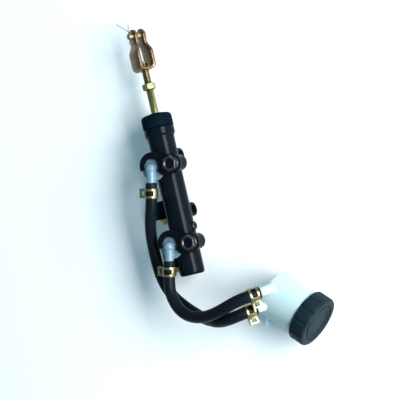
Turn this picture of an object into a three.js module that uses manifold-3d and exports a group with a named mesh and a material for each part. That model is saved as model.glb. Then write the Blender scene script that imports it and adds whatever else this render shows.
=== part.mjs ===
// Tandem brake master cylinder with a clevis push rod, two hoses and a remote fluid reservoir.
// Millimetres, +Z up. The cylinder's axis runs along Y, with the push rod towards +Y.
// Along the cylinder, "station" is the distance from the rear datum towards the closed end, so y = -station.

import * as THREE from "three";
import { mergeVertices } from "three/addons/utils/BufferGeometryUtils.js";
import Module from "manifold-3d";

const wasm = await Module();
wasm.setup();

// Driving dimensions.
const GAP = 0.3; // between pieces that touch
const AXIS_Z = 23; // height of the cylinder's axis over the surface it stands on
const ORIGIN = [54.913, -43.566]; // where the row's origin lies in the layout below, in X and Y

const BARREL_R = 13.1;
const BORE_R = 7.95;
const BORE_END = 118;
const CLOSED_END = 129;
const COLLAR_R = 15.3;
const COLLAR_START = -21;
const NOSE_R = 11.5;
const NOSE_START = -25;
const WASHER_STEP = -19.5;

const INLET_X = -8.2;
const INLET_STATIONS = [18, 97];
const BOLT_X = 15.8;
const BOLT_STATIONS = [18.4, 97.5];
const BOLT_BOSS_Z = 24.4; // underside of a bolt boss
const INLET_TOP_Z = 35.5;
const FLANGE_TOP_Z = 38.3;
const PLATE_THICKNESS = 2.5;
const PLATE_TOP_Z = FLANGE_TOP_Z + GAP + PLATE_THICKNESS;
const SPOT_FACE_R = 13.1; // the flat cut into the barrel's crest under an elbow's flange
const SEAT_R = 6.6;
const SEAT_Z = 32.9;

const LUG_STATIONS = [9, 65];
const LUG_Z = 7;
const LUG_R = 7;
const LUG_HALF_WIDTH = 9;
const LUG_HOLE_R = 4.25;

const OUTLET_STATIONS = [68, 118]; // the port faces of the two outlet blocks
const OUTLET_LENGTH = 18;
const OUTLET_X = [-29, -9];
const OUTLET_Z = [7, 23];
const OUTLET_AXIS = [-21, 15]; // X and Z of an outlet port's axis
const OUTLET_HOLE_R = 4.6;

const STOP_STATION = 82;
const STOP_FACE_X = 13.9;
const STOP_HEAD = 1.5;

const ROD_R = 3.8;
const ROD_BALL = -12;
const ROD_END = -88;
const NUT_STATION = -63.4;
const NUT_HALF = 3;
const NUT_FLATS = 12;

const CLEVIS_BASE = -80;
const CLEVIS_LENGTH = 43;
const CLEVIS_ROLL = -58.8; // degrees from +X to the line from ear to ear
const CLEVIS_PIN_V = 36.3; // from the clevis's base to its pin
const PIN_R = 3.1;

const HOSE_R = 5.75;
const HOSE_BORE_R = 4.1;
const CLAMP_WIDTH = 9.5;
const CLAMP_EAR = 6; // how far a clamp's ears stand out of its band
const INLET_CLAMP_AT = 10.2; // from the hose's end to the middle of its clamp
const RESERVOIR_CLAMP_AT = 6.8;
const NUT_TURN = 12; // degrees
const NIPPLE_Z = 42;
const NIPPLE_YAW = 14; // degrees from -Y towards -X
const NIPPLE_REACH = 14.2; // from the port's axis to the hose's end
const SPIGOT_R = 4.3;
const BARB_R = 3.4;
const BARB_LENGTH = 9;

const RESERVOIR_AT = [81.53, -162.27, 23.18];
const RESERVOIR_YAW = -42.37;
const RESERVOIR_TILT = 3.43;
const RESERVOIR_R = 23.2;
const RESERVOIR_LENGTH = 39.35;
const NECK_R = 20.8;
const NECK_END = 49.1;
const CAP_R = 25.55;
const CAP_FACE = 55.3;
const SPIGOT_X = 4.6;
const SPIGOT_ANGLE = 3.4;
const SPIGOT_SPACING = 20.2;
const SPIGOT_DIRECTION = [-0.4643, -0.6145, 0.6378];
const SPIGOT_TO_HOSE = [8.2, 3.25]; // bare lengths of the upper and the lower spigot
const EAR_ANGLE = 107.9;
const EAR_X = 5.4;
const EAR_HOLE_R = 3.25;
const EAR_HOLE_AT = 29.2;

// Hose centre lines, from the inlet elbow to the reservoir.
const HOSE_1 = [
  [-11.63, -31.78, 42], [-13.32, -38.56, 42], [-15, -45.3, 41.9], [-18, -53.6, 41.2],
  [-21.8, -61.2, 39.4], [-26, -69, 36.6], [-29.6, -76.6, 33.6], [-32.4, -84.5, 30.7],
  [-34.2, -92.7, 28.5], [-35.3, -101.2, 27], [-35.7, -109.9, 26], [-35.5, -118.4, 25.4],
  [-34.3, -126.6, 25.2], [-31.8, -134.4, 25.5], [-28, -141.6, 26.2], [-23, -148.2, 27.4],
  [-17, -154, 29.2], [-10.6, -159.2, 31.4], [-4.2, -163.6, 33.8], [2.5, -167.8, 36.6],
  [9.5, -171.6, 39.8], [16.83, -174.43, 43.51], [23.99, -176.28, 47.43], [30.99, -177.66, 51.36],
  [38.82, -178.07, 54.79], [47.24, -177.48, 57.73], [55.64, -176.25, 58.6], [63.6, -174.8, 55.75],
  [68.55, -174.05, 51.91], [73.65, -173.3, 47.95],
];
const HOSE_2 = [
  [-11.63, -110.78, 42], [-13.32, -117.56, 42], [-15.2, -124.4, 42.1], [-16.6, -130.6, 42.5],
  [-17.3, -137.3, 43.2], [-16.4, -144.4, 44.4], [-13.7, -151.4, 46], [-9.5, -157.9, 48],
  [-3.8, -163.1, 50.2], [2.8, -166.7, 52.6], [10, -168.9, 55.1], [17.5, -170, 57.7],
  [25.1, -170.3, 60.3], [32.65, -169.62, 62.46], [40.14, -168.36, 64.07], [47.78, -166.53, 64.95],
  [55.06, -164.41, 64.88], [61.65, -162.6, 64.01], [67.65, -161.25, 62.4], [73.27, -160.38, 59.8],
  [78.2, -159.68, 56.12], [83.3, -158.92, 52.16],
];
const HOSE_STEP = 12;

// Colours and finishes.
const material = (colour, roughness, metalness = 0, opacity = 1) =>
  new THREE.MeshStandardMaterial({ color: colour, roughness, metalness, opacity, transparent: opacity < 1 });
const BLACK_PAINT = material(0x0b0f14, 0.3);
const BLACK_RUBBER = material(0x15181c, 0.6);
const BLACK_ZINC = material(0x0d0f13, 0.35, 0.6);
const BLACK_PLASTIC = material(0x171b1f, 0.5);
const WHITE_PLASTIC = material(0xd9e4ea, 0.4);
const CLEAR_PLASTIC = material(0xe4f2f4, 0.35, 0, 0.7);
const YELLOW_PLASTIC = material(0xd9b53a, 0.45);
const YELLOW_ZINC = material(0xb39445, 0.3, 1);
const BRONZE_ZINC = material(0x9a6a50, 0.35, 1);
const STEEL = material(0x9aa0a6, 0.3, 1);
const ALUMINIUM = material(0xb9bdc0, 0.4, 1);

// ---- Solids -------------------------------------------------------------------------------------

function solidOf(geometry) {
  const bare = geometry.index ? geometry.toNonIndexed() : geometry.clone();
  bare.deleteAttribute("normal");
  bare.deleteAttribute("uv");
  const merged = mergeVertices(bare, 1e-4);
  const triVerts = new Uint32Array(merged.index.array);
  const build = () =>
    new wasm.Manifold(
      new wasm.Mesh({ numProp: 3, vertProperties: merged.attributes.position.array, triVerts }),
    );
  const made = build();
  if (made.volume() > 0) return made;
  for (let i = 0; i < triVerts.length; i += 3) {
    const first = triVerts[i];
    triVerts[i] = triVerts[i + 1];
    triVerts[i + 1] = first;
  }
  return build();
}

function geometryOf(solid) {
  const mesh = solid.getMesh();
  const geometry = new THREE.BufferGeometry();
  geometry.setAttribute("position", new THREE.BufferAttribute(new Float32Array(mesh.vertProperties), 3));
  geometry.setIndex(new THREE.BufferAttribute(new Uint32Array(mesh.triVerts), 1));
  geometry.computeVertexNormals();
  return geometry;
}

function joined(...geometries) {
  return geometries.map(solidOf).reduce((whole, next) => whole.add(next));
}

function cut(solid, ...geometries) {
  return geometries.map(solidOf).reduce((whole, next) => whole.subtract(next), solid);
}

const LENGTHWISE = new THREE.Vector3(0, 1, 0);

// A shape made about +Y, turned to point along an axis and moved to a place.
function aimed(geometry, axis, at) {
  const turn = new THREE.Quaternion().setFromUnitVectors(LENGTHWISE, new THREE.Vector3(...axis).normalize());
  return geometry.applyQuaternion(turn).translate(...at);
}

function between(start, end, radius, sides = 16, endRadius = radius) {
  const from = new THREE.Vector3(...start);
  const along = new THREE.Vector3(...end).sub(from);
  const shape = new THREE.CylinderGeometry(endRadius, radius, along.length(), sides);
  const middle = from.clone().addScaledVector(along, 0.5);
  return aimed(shape, along.toArray(), middle.toArray());
}

// A ring or solid turned about +Y from a closed outline of [radius, height] pairs.
function turned(profile, sides = 18) {
  return new THREE.LatheGeometry(profile.map(([radius, height]) => new THREE.Vector2(radius, height)), sides);
}

// The same, from [radius, station] pairs on the cylinder's axis.
function onAxis(profile, sides = 18) {
  return turned(profile.map(([radius, station]) => [radius, -station]), sides).translate(0, 0, AXIS_Z);
}

// A washer-like outline: a rectangle from an inner to an outer radius.
function band(inner, outer, low, high) {
  return [[inner, low], [outer, low], [outer, high], [inner, high], [inner, low]];
}

function box(low, high) {
  const size = high.map((value, i) => value - low[i]);
  const middle = high.map((value, i) => (value + low[i]) / 2);
  return new THREE.BoxGeometry(...size).translate(...middle);
}

function outline(points) {
  return new THREE.Shape(points.map(([x, y]) => new THREE.Vector2(x, y)));
}

function slab(shape, thickness, curveSegments = 8) {
  return new THREE.ExtrudeGeometry(shape, { depth: thickness, bevelEnabled: false, curveSegments });
}

function hexBar(flats, length) {
  return new THREE.CylinderGeometry(flats / Math.sqrt(3), flats / Math.sqrt(3), length, 6);
}

// A round wire, bar or hose along a centre line.
function alongPath(points, radius, sides, steps, boreRadius = 0) {
  const section = new THREE.Shape();
  section.absarc(0, 0, radius, 0, Math.PI * 2);
  if (boreRadius) {
    const hole = new THREE.Path();
    hole.absarc(0, 0, boreRadius, 0, Math.PI * 2);
    section.holes.push(hole);
  }
  const path = new THREE.CatmullRomCurve3(points.map((p) => new THREE.Vector3(...p)));
  return new THREE.ExtrudeGeometry(section, {
    extrudePath: path, steps, curveSegments: sides / 2, bevelEnabled: false,
  });
}

const root = new THREE.Group();
const unit = new THREE.Group();
root.add(unit);
unit.position.set(-ORIGIN[0], -ORIGIN[1], 0);

function part(name, shape, finish, parent = unit) {
  const solid = shape.isBufferGeometry ? solidOf(shape) : shape;
  const mesh = new THREE.Mesh(geometryOf(solid), finish);
  mesh.name = name;
  parent.add(mesh);
  return mesh;
}

// ---- Cylinder casting ---------------------------------------------------------------------------

function lug(station) {
  const shape = new THREE.Shape();
  shape.moveTo(-LUG_R, AXIS_Z - LUG_Z);
  shape.lineTo(-LUG_R, 0);
  shape.absarc(0, 0, LUG_R, Math.PI, Math.PI * 2);
  shape.lineTo(LUG_R, AXIS_Z - LUG_Z);
  const block = slab(shape, LUG_HALF_WIDTH * 2, 6).rotateX(Math.PI / 2).rotateZ(Math.PI / 2);
  return block.translate(-LUG_HALF_WIDTH, -station, LUG_Z);
}

function outletBlock(station) {
  return box([OUTLET_X[0], -station, OUTLET_Z[0]], [OUTLET_X[1], -station + OUTLET_LENGTH, OUTLET_Z[1]]);
}

function cylinderBody() {
  const outside = onAxis([
    [0, NOSE_START], [NOSE_R - 0.6, NOSE_START], [NOSE_R, NOSE_START + 0.6], [NOSE_R, COLLAR_START],
    [COLLAR_R - 0.4, COLLAR_START], [COLLAR_R, COLLAR_START + 0.4], [COLLAR_R, -13.4], [14, -12.2],
    [13.4, -8.6],
    [BARREL_R, 40], [12.6, CLOSED_END - 3.4], [11.9, CLOSED_END - 1], [10.6, CLOSED_END], [0, CLOSED_END],
  ], 24);
  let body = joined(outside, ...LUG_STATIONS.map(lug), ...OUTLET_STATIONS.map(outletBlock));
  for (const station of INLET_STATIONS) {
    const boss = between([INLET_X, -station, AXIS_Z], [INLET_X, -station, INLET_TOP_Z], 9.8, 16, 9.4);
    body = body.add(solidOf(boss));
  }
  for (const station of BOLT_STATIONS) {
    const boss = between([BOLT_X, -station, BOLT_BOSS_Z], [BOLT_X, -station, FLANGE_TOP_Z], 8, 16);
    body = body.add(solidOf(boss));
  }
  const stop = between([0, -STOP_STATION, AXIS_Z], [STOP_FACE_X, -STOP_STATION, AXIS_Z], 5.6, 12, 5);
  body = body.add(solidOf(stop));

  body = cut(body, onAxis([
    [0, NOSE_START - 1], [9.2, NOSE_START - 1], [9.2, -23.3], [10.2, -23.3], [10.2, -21.4], [9.2, -21.4],
    [9.2, WASHER_STEP], [BORE_R, WASHER_STEP], [BORE_R, BORE_END - 3], [0, BORE_END],
  ], 24));
  for (const station of INLET_STATIONS)
    body = cut(body,
      between([INLET_X, -station, INLET_TOP_Z], [INLET_X, -station, INLET_TOP_Z + 9], SPOT_FACE_R, 16),
      between([INLET_X, -station, SEAT_Z], [INLET_X, -station, INLET_TOP_Z + 1], SEAT_R, 16),
      between([-5.4, -station, AXIS_Z + 2], [INLET_X, -station, INLET_TOP_Z], 1.2, 6));
  for (const station of BOLT_STATIONS)
    body = cut(body,
      between([BOLT_X, -station, BOLT_BOSS_Z + 2], [BOLT_X, -station, FLANGE_TOP_Z + 1], 4.35, 12));
  for (const station of LUG_STATIONS)
    body = cut(body, between([-20, -station, LUG_Z], [20, -station, LUG_Z], LUG_HOLE_R, 16));
  body = cut(body,
    between([BORE_R - 2, -STOP_STATION, AXIS_Z], [STOP_FACE_X + 1, -STOP_STATION, AXIS_Z], 2.6, 10));
  for (const station of OUTLET_STATIONS) {
    const [x, z] = OUTLET_AXIS;
    body = cut(body,
      between([x, -station - 1, z], [x, -station + 11, z], OUTLET_HOLE_R, 12),
      between([x, -station + 9, z], [0, -station + 9, AXIS_Z], 1.4, 6));
  }
  return body;
}

// ---- Pieces in the bore -------------------------------------------------------------------------

function stopWasher() {
  return onAxis(band(5.4, 8.8, -21.1, WASHER_STEP - GAP));
}

function circlip() {
  const ring = solidOf(onAxis(band(7.7, 9.8, -22.9, -21.7)));
  return cut(ring, box([-2.2, 20, 0], [2.2, 25, AXIS_Z]));
}

const PISTON_R = 7.6;
const PISTON_REAR = -19.4;

function primaryPiston() {
  return onAxis([
    [0, ROD_BALL + 4.4], [2.6, ROD_BALL + 3.6], [4.3, ROD_BALL + 1.4], [4.3, -16], [4.9, PISTON_REAR],
    [7.2, PISTON_REAR], [PISTON_R, -19], [PISTON_R, -13.4], [5, -13.4], [5, -9.6], [PISTON_R, -9.6],
    [PISTON_R, -5], [5.6, -3], [5.6, 9], [PISTON_R, 10], [PISTON_R, 12.2], [3.8, 12.2], [3.8, 20],
    [3.2, 20.8],
    [0, 20.8],
  ]);
}

// A cup seal: a ring with a lip that flares towards one end.
function cupSeal(inner, back, front) {
  const lip = back + (front - back) * 0.45;
  return onAxis([
    [inner, back], [7.1, back], [7.3, lip], [PISTON_R, front], [6.9, front], [6.2, lip], [inner, lip],
    [inner, back],
  ]);
}

function springSeat(back) {
  return onAxis(band(4.1, 6.8, back, back + 1));
}

function coilSpring(from, to, radius, wire, turns) {
  const perTurn = 8;
  const points = [];
  for (let i = 0; i <= turns * perTurn; i++) {
    const angle = (i / perTurn) * Math.PI * 2;
    const station = from + ((to - from) * i) / (turns * perTurn);
    points.push([radius * Math.cos(angle), -station, AXIS_Z + radius * Math.sin(angle)]);
  }
  return alongPath(points, wire, 6, turns * perTurn);
}

const SECONDARY_REAR = 58;

function secondaryPiston() {
  const start = SECONDARY_REAR;
  const turnedShape = onAxis([
    [0, start + 2], [3, start], [PISTON_R - 0.4, start], [PISTON_R, start + 0.4], [PISTON_R, start + 3],
    [5, start + 3], [5, start + 6.4], [PISTON_R, start + 6.4], [PISTON_R, start + 9], [5, start + 10],
    [5, start + 31], [PISTON_R, start + 32], [PISTON_R, start + 34], [3.8, start + 34], [3.8, start + 42],
    [3.2, start + 42.8], [0, start + 42.8],
  ]);
  return turnedShape;
}

function stopScrew() {
  const shank = between([6.2, -STOP_STATION, AXIS_Z], [STOP_FACE_X + 1, -STOP_STATION, AXIS_Z], 2.2, 20);
  const head = between([STOP_FACE_X + GAP, -STOP_STATION, AXIS_Z],
    [STOP_FACE_X + STOP_HEAD, -STOP_STATION, AXIS_Z], 4.2, 24, 3.8);
  const socket = aimed(hexBar(2.6, 2.2), [1, 0, 0], [STOP_FACE_X + STOP_HEAD, -STOP_STATION, AXIS_Z]);
  return cut(joined(shank, head), socket);
}

// ---- Boot, push rod and clevis ------------------------------------------------------------------

function dustBoot() {
  return onAxis([
    [12.2, -21.3], [15.1, -21.3], [15.5, -21.8], [15.5, -31.8], [14.7, -33.6], [12.4, -34.8], [5.8, -35.8],
    [5.3, -35.4], [5.3, -34.2], [10.5, -32.8], [12.2, -30.8], [12.2, -21.3],
  ], 24);
}

function pushRod() {
  const tip = ROD_BALL + ROD_R;
  return onAxis([
    [0, ROD_END], [ROD_R - 0.8, ROD_END], [ROD_R, ROD_END + 0.8], [ROD_R, ROD_BALL],
    [ROD_R * 0.87, ROD_BALL + ROD_R * 0.5], [ROD_R * 0.5, ROD_BALL + ROD_R * 0.87], [0, tip],
  ], 16);
}

function chamferedNut(flats, height, holeRadius) {
  const corner = flats / Math.sqrt(3);
  const chamfer = corner - flats / 2 + 0.25;
  const half = height / 2;
  const envelope = turned([
    [0, -half], [flats / 2 - 0.25, -half], [corner, -half + chamfer * 0.6], [corner, half - chamfer * 0.6],
    [flats / 2 - 0.25, half], [0, half],
  ], 18);
  const hex = solidOf(hexBar(flats, height)).intersect(solidOf(envelope));
  return holeRadius ? cut(hex, new THREE.CylinderGeometry(holeRadius, holeRadius, height + 2, 16)) : hex;
}

// The clevis's own frame: x from ear to ear, y away from the cylinder, z across the strap.
function clevisFrame() {
  const frame = new THREE.Group();
  frame.position.set(0, -CLEVIS_BASE, AXIS_Z);
  frame.rotation.y = THREE.MathUtils.degToRad(-CLEVIS_ROLL);
  unit.add(frame);
  return frame;
}

function clevis() {
  const half = [
    [8.7, 4], [8.7, 20], [5.8, 26.6], [5.8, CLEVIS_LENGTH], [3.2, CLEVIS_LENGTH], [3.2, 27.2], [6.1, 20.4],
    [6.1, 5.2],
  ];
  const strap = new THREE.Shape();
  strap.moveTo(-4.7, 0);
  strap.lineTo(4.7, 0);
  strap.quadraticCurveTo(8.7, 0, ...half[0]);
  half.slice(1).forEach((p) => strap.lineTo(...p));
  strap.quadraticCurveTo(6.1, 3, 3.9, 3);
  strap.lineTo(-3.9, 3);
  strap.quadraticCurveTo(-6.1, 3, -6.1, 5.2);
  half.slice(1, -1).reverse().forEach(([x, y]) => strap.lineTo(-x, y));
  strap.lineTo(-8.7, 4);
  strap.quadraticCurveTo(-8.7, 0, -4.7, 0);
  const bent = slab(strap, 20, 6).translate(0, 0, -10);

  const flat = new THREE.Shape();
  flat.moveTo(-8, -1);
  flat.lineTo(8, -1);
  flat.lineTo(9.7, 2.5);
  flat.lineTo(9.7, 19);
  flat.quadraticCurveTo(9.4, 23.5, 7, 26.5);
  flat.lineTo(7, CLEVIS_LENGTH - 7);
  flat.absarc(0, CLEVIS_LENGTH - 7, 7, 0, Math.PI);
  flat.lineTo(-7, 26.5);
  flat.quadraticCurveTo(-9.4, 23.5, -9.7, 19);
  flat.lineTo(-9.7, 2.5);
  const blank = slab(flat, 20, 10).translate(0, 0, -10).rotateY(Math.PI / 2);

  return cut(solidOf(bent).intersect(solidOf(blank)),
    between([-12, CLEVIS_PIN_V, 0], [12, CLEVIS_PIN_V, 0], PIN_R + 0.35, 16),
    between([0, -2, 0], [0, 5, 0], ROD_R + 0.4, 16));
}

const COTTER_X = -8.3;
const COTTER_WIRE = 0.45;

function clevisPin() {
  const shank = between([-9.8, CLEVIS_PIN_V, 0], [6.6, CLEVIS_PIN_V, 0], PIN_R, 16);
  const tip = between([-9.8, CLEVIS_PIN_V, 0], [-10.4, CLEVIS_PIN_V, 0], PIN_R, 16, PIN_R - 0.6);
  const head = between([6.3, CLEVIS_PIN_V, 0], [8.1, CLEVIS_PIN_V, 0], 5.2, 16, 4.8);
  return cut(joined(shank, tip, head),
    between([COTTER_X, CLEVIS_PIN_V - 6, 0], [COTTER_X, CLEVIS_PIN_V + 6, 0], 1.4, 16));
}

function cotterPin() {
  const low = CLEVIS_PIN_V - 4;
  const high = CLEVIS_PIN_V + 4;
  const points = [[-20.5, 50.2, 0.6], [-15, 46, 0.6], [-10.2, high + 1.9, 0.6], [COTTER_X, high, 0.55]];
  points.push([COTTER_X, CLEVIS_PIN_V, 0.55], [COTTER_X, low, 0.6]);
  for (let i = 0; i <= 6; i++) {
    const angle = (-50 + (i / 6) * 280) * (Math.PI / 180);
    points.push([COTTER_X + 1.7 * Math.cos(angle), low - 2.6 - 1.7 * Math.sin(angle), 0.6 - 0.2 * i]);
  }
  points.push([COTTER_X, low, -0.6], [COTTER_X, CLEVIS_PIN_V, -0.55], [COTTER_X, high, -0.55]);
  points.push([-7.9, high + 3.5, -0.6], [-6.7, 49, -0.6]);
  return alongPath(points, COTTER_WIRE, 6, 38);
}

// ---- Inlet fittings -----------------------------------------------------------------------------

const YAW = THREE.MathUtils.degToRad(NIPPLE_YAW);
const NIPPLE_AXIS = [-Math.sin(YAW), -Math.cos(YAW), 0];

function inletElbow(station) {
  const at = [INLET_X, -station, 0];
  const reach = (distance) => [
    INLET_X + NIPPLE_AXIS[0] * distance, -station + NIPPLE_AXIS[1] * distance, NIPPLE_Z,
  ];
  const spool = turned([
    [0, SEAT_Z + 1.2], [2.9, SEAT_Z + 1.2], [2.9, INLET_TOP_Z + GAP], [12.5, INLET_TOP_Z + GAP],
    [12.5, FLANGE_TOP_Z - 0.4], [12.1, FLANGE_TOP_Z], [6.2, FLANGE_TOP_Z], [5.2, FLANGE_TOP_Z + 1], [5, 43],
    [4.3, 45.4], [2.5, 46.7], [0, 47],
  ], 20).rotateX(Math.PI / 2);
  const upright = spool.translate(at[0], at[1], 0);
  const collar = between(reach(0), reach(NIPPLE_REACH - GAP), SPIGOT_R, 14);
  const barb = between(reach(NIPPLE_REACH - 1), reach(NIPPLE_REACH + BARB_LENGTH), BARB_R, 12, BARB_R - 0.5);
  const bore = between(reach(1), reach(NIPPLE_REACH + BARB_LENGTH + 1), 1.8, 8);
  const drop = between([at[0], at[1], SEAT_Z], [at[0], at[1], NIPPLE_Z], 1.8, 8);
  return cut(joined(upright, collar, barb), bore, drop);
}

function inletGrommet(station) {
  const ring = turned(band(3.3, SEAT_R - GAP - 0.1, SEAT_Z + GAP, INLET_TOP_Z), 16).rotateX(Math.PI / 2);
  return ring.translate(INLET_X, -station, 0);
}

// The retaining plate clamps an elbow's flange: a hook round the elbow and an eye under the bolt.
function retainingPlate(inletStation, boltStation) {
  const eye = [BOLT_X - INLET_X, inletStation - boltStation];
  const shape = outline([
    [-13.2, -0.4], [-12.9, 5.2], [-11.2, 9.8], [-8, 13.4], [-3.6, 15.6], [1.6, 16.3], [6.8, 15.2],
    [11.4, 13.4], [16, 11.8], [eye[0] - 2.6, eye[1] + 9.7], [eye[0] + 3, eye[1] + 9.5],
    [eye[0] + 7.6, eye[1] + 6.6],
    [eye[0] + 10, eye[1] + 1.6], [eye[0] + 9.6, eye[1] - 3.4], [eye[0] + 6.8, eye[1] - 7.6],
    [eye[0] + 2, eye[1] - 9.8], [16.4, -9.4], [11.6, -10.6], [5.6, -3.9], [8.1, -0.7], [7.3, 7.1],
    [0.7, 9.7], [-3.6, 9.5], [-9.2, 4.2], [-8.6, 1.4],
  ]);
  const plate = slab(shape, PLATE_THICKNESS).translate(INLET_X, -inletStation, FLANGE_TOP_Z + GAP);
  return cut(solidOf(plate),
    between([BOLT_X, -boltStation, FLANGE_TOP_Z - 1], [BOLT_X, -boltStation, PLATE_TOP_Z + 1], 4.4, 24));
}

function plateBolt(station) {
  const head = chamferedNut(13.6, 4.4, 0);
  const turnUp = new THREE.Matrix4().makeRotationX(Math.PI / 2);
  const placed = geometryOf(head).applyMatrix4(turnUp);
  placed.translate(BOLT_X, -station, PLATE_TOP_Z + GAP + 1.7 + 2.2);
  const seat = PLATE_TOP_Z + GAP;
  const skirt = between([BOLT_X, -station, seat], [BOLT_X, -station, seat + 1.8], 8, 18);
  const shank = between([BOLT_X, -station, BOLT_BOSS_Z + 3], [BOLT_X, -station, PLATE_TOP_Z + 2], 3.95, 24);
  return joined(placed, skirt, shank);
}

// ---- Hoses and clamps ---------------------------------------------------------------------------

function pathLength(points) {
  let length = 0;
  for (let i = 1; i < points.length; i++)
    length += new THREE.Vector3(...points[i]).distanceTo(new THREE.Vector3(...points[i - 1]));
  return length;
}

function hose(points) {
  return alongPath(points, HOSE_R, 8, Math.round(pathLength(points) / HOSE_STEP), HOSE_BORE_R);
}

// A sprung band round a hose, along local Y. Its window faces local +Z and its two ears local -X.
function springClamp() {
  const inner = HOSE_R + 0.6;
  const outer = inner + 0.8;
  const half = CLAMP_WIDTH / 2;
  const reach = outer + CLAMP_EAR;
  const ring = turned(band(inner, outer, -half, half));
  const ear = (side) => box([-reach, -half, Math.min(0.4 * side, 1.3 * side)],
    [-inner - 0.2, half, Math.max(0.4 * side, 1.3 * side)]);
  const split = box([-reach - 1, -half - 1, -0.4], [-inner + 2, half + 1, 0.4]);
  const window = box([-3.4, -2.4, inner - 3], [3.4, 2.4, outer + 3]);
  return cut(joined(ring, ear(1), ear(-1)), split, window);
}

// Puts a clamp on a hose, a given way from one end. An inlet's clamp has its ears away from the barrel.
function clampOn(name, points, distance, fromEnd) {
  const ends = fromEnd ? [points.at(-1), points.at(-2)] : [points[0], points[1]];
  const [from, to] = ends.map((p) => new THREE.Vector3(...p));
  const along = to.clone().sub(from).normalize();
  const up = new THREE.Vector3(0, 0, 1).addScaledVector(along, -along.z).normalize();
  const side = new THREE.Vector3().crossVectors(along, up);
  const mesh = part(name, springClamp(), YELLOW_ZINC);
  mesh.quaternion.setFromRotationMatrix(new THREE.Matrix4().makeBasis(side, along, up));
  if (!fromEnd) mesh.rotateZ(Math.PI);
  mesh.position.copy(from).addScaledVector(along, distance);
}

// ---- Reservoir ----------------------------------------------------------------------------------

// The reservoir's own frame: +x from its bottom to its cap, along its axis.
function reservoirFrame() {
  const frame = new THREE.Group();
  frame.position.set(...RESERVOIR_AT);
  const yaw = THREE.MathUtils.degToRad(RESERVOIR_YAW);
  const tilt = THREE.MathUtils.degToRad(RESERVOIR_TILT);
  frame.rotation.set(0, -tilt, yaw, "ZYX");
  unit.add(frame);
  return frame;
}

function alongX(profile, sides = 24) {
  return turned(profile, sides).rotateZ(-Math.PI / 2);
}

// A point of the reservoir's wall: angles run from +z towards -y.
function wallPoint(x, degrees, radius, sideways = 0) {
  const angle = THREE.MathUtils.degToRad(degrees);
  return [
    x,
    -Math.sin(angle) * radius - Math.cos(angle) * sideways,
    Math.cos(angle) * radius - Math.sin(angle) * sideways,
  ];
}

function mountingEar() {
  const outlineShape = new THREE.Shape();
  outlineShape.moveTo(-8, RESERVOIR_R - 3);
  outlineShape.lineTo(8, RESERVOIR_R - 3);
  outlineShape.lineTo(8, EAR_HOLE_AT);
  outlineShape.absarc(0, EAR_HOLE_AT, 8, 0, Math.PI);
  const hole = new THREE.Path();
  hole.absarc(0, EAR_HOLE_AT, EAR_HOLE_R, 0, Math.PI * 2);
  outlineShape.holes.push(hole);
  const angle = THREE.MathUtils.degToRad(EAR_ANGLE);
  const outward = new THREE.Vector3(0, -Math.sin(angle), Math.cos(angle));
  const thickness = new THREE.Vector3(1, 0, 0);
  const across = new THREE.Vector3().crossVectors(outward, thickness);
  const place = new THREE.Matrix4().makeBasis(across, outward, thickness).setPosition(EAR_X - 2, 0, 0);
  return slab(outlineShape, 4, 10).applyMatrix4(place);
}

function reservoirBody() {
  let body = solidOf(alongX([
    [0, 0], [RESERVOIR_R - 1.6, 0], [RESERVOIR_R - 0.45, 0.45], [RESERVOIR_R, 1.6],
    [RESERVOIR_R, RESERVOIR_LENGTH - 1.6], [NECK_R, RESERVOIR_LENGTH - 0.6], [NECK_R, NECK_END],
    [0, NECK_END],
  ])).add(solidOf(mountingEar()));
  const direction = new THREE.Vector3(...SPIGOT_DIRECTION).normalize();
  const bores = [];
  [-1, 1].forEach((side, i) => {
    const bare = SPIGOT_TO_HOSE[i];
    const sideways = (side * SPIGOT_SPACING) / 2;
    const crest = new THREE.Vector3(...wallPoint(SPIGOT_X, SPIGOT_ANGLE, RESERVOIR_R, sideways));
    const along = (distance) => crest.clone().addScaledVector(direction, distance).toArray();
    const collar = between(along(-7), along(bare - GAP), SPIGOT_R + 0.5, 14, SPIGOT_R);
    const barb = between(along(0), along(bare + BARB_LENGTH), BARB_R, 12, BARB_R - 0.4);
    bores.push(between(along(-12), along(bare + BARB_LENGTH + 1), 1.8, 8));
    body = body.add(solidOf(collar)).add(solidOf(barb));
  });
  const inside = alongX([
    [0, 2.2], [RESERVOIR_R - 3.2, 2.2], [RESERVOIR_R - 2.2, 3.4], [RESERVOIR_R - 2.2, RESERVOIR_LENGTH - 4],
    [NECK_R - 2.4, RESERVOIR_LENGTH - 2], [NECK_R - 2.4, NECK_END + 1], [0, NECK_END + 1],
  ]);
  return cut(body, inside, ...bores);
}

function reservoirCap() {
  const inner = NECK_R + 0.5;
  const shell = solidOf(alongX([
    [0, CAP_FACE - 0.9], [15.6, CAP_FACE - 0.9], [16.2, CAP_FACE - 0.1], [17.6, CAP_FACE - 0.1],
    [18.2, CAP_FACE - 1.1], [19.8, CAP_FACE - 1.1], [20.4, CAP_FACE], [CAP_R - 1.8, CAP_FACE],
    [CAP_R - 0.5, CAP_FACE - 0.5], [CAP_R, CAP_FACE - 1.8], [CAP_R, RESERVOIR_LENGTH + GAP],
    [inner, RESERVOIR_LENGTH + GAP], [inner, CAP_FACE - 2.9], [0, CAP_FACE - 2.9],
  ], 24));
  const notches = [];
  for (let i = 0; i < 12; i++) {
    const low = wallPoint(RESERVOIR_LENGTH - 1, i * 30, CAP_R + 1.4);
    const high = wallPoint(CAP_FACE - 2.2, i * 30, CAP_R + 1.4);
    notches.push(between(low, high, 2.1, 6));
  }
  return cut(shell, ...notches);
}

// A rubber diaphragm: a flange that seals on the neck, and a pocket that hangs into the reservoir.
function diaphragm() {
  const low = NECK_END + GAP;
  return alongX([
    [0, 37.4], [14, 37.4], [16.2, 39.4], [16.2, low], [NECK_R - 0.2, low], [NECK_R - 0.2, low + 1.2],
    [14.8, low + 1.2], [14.8, 40], [13.4, 38.7], [0, 38.7],
  ]);
}

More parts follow.
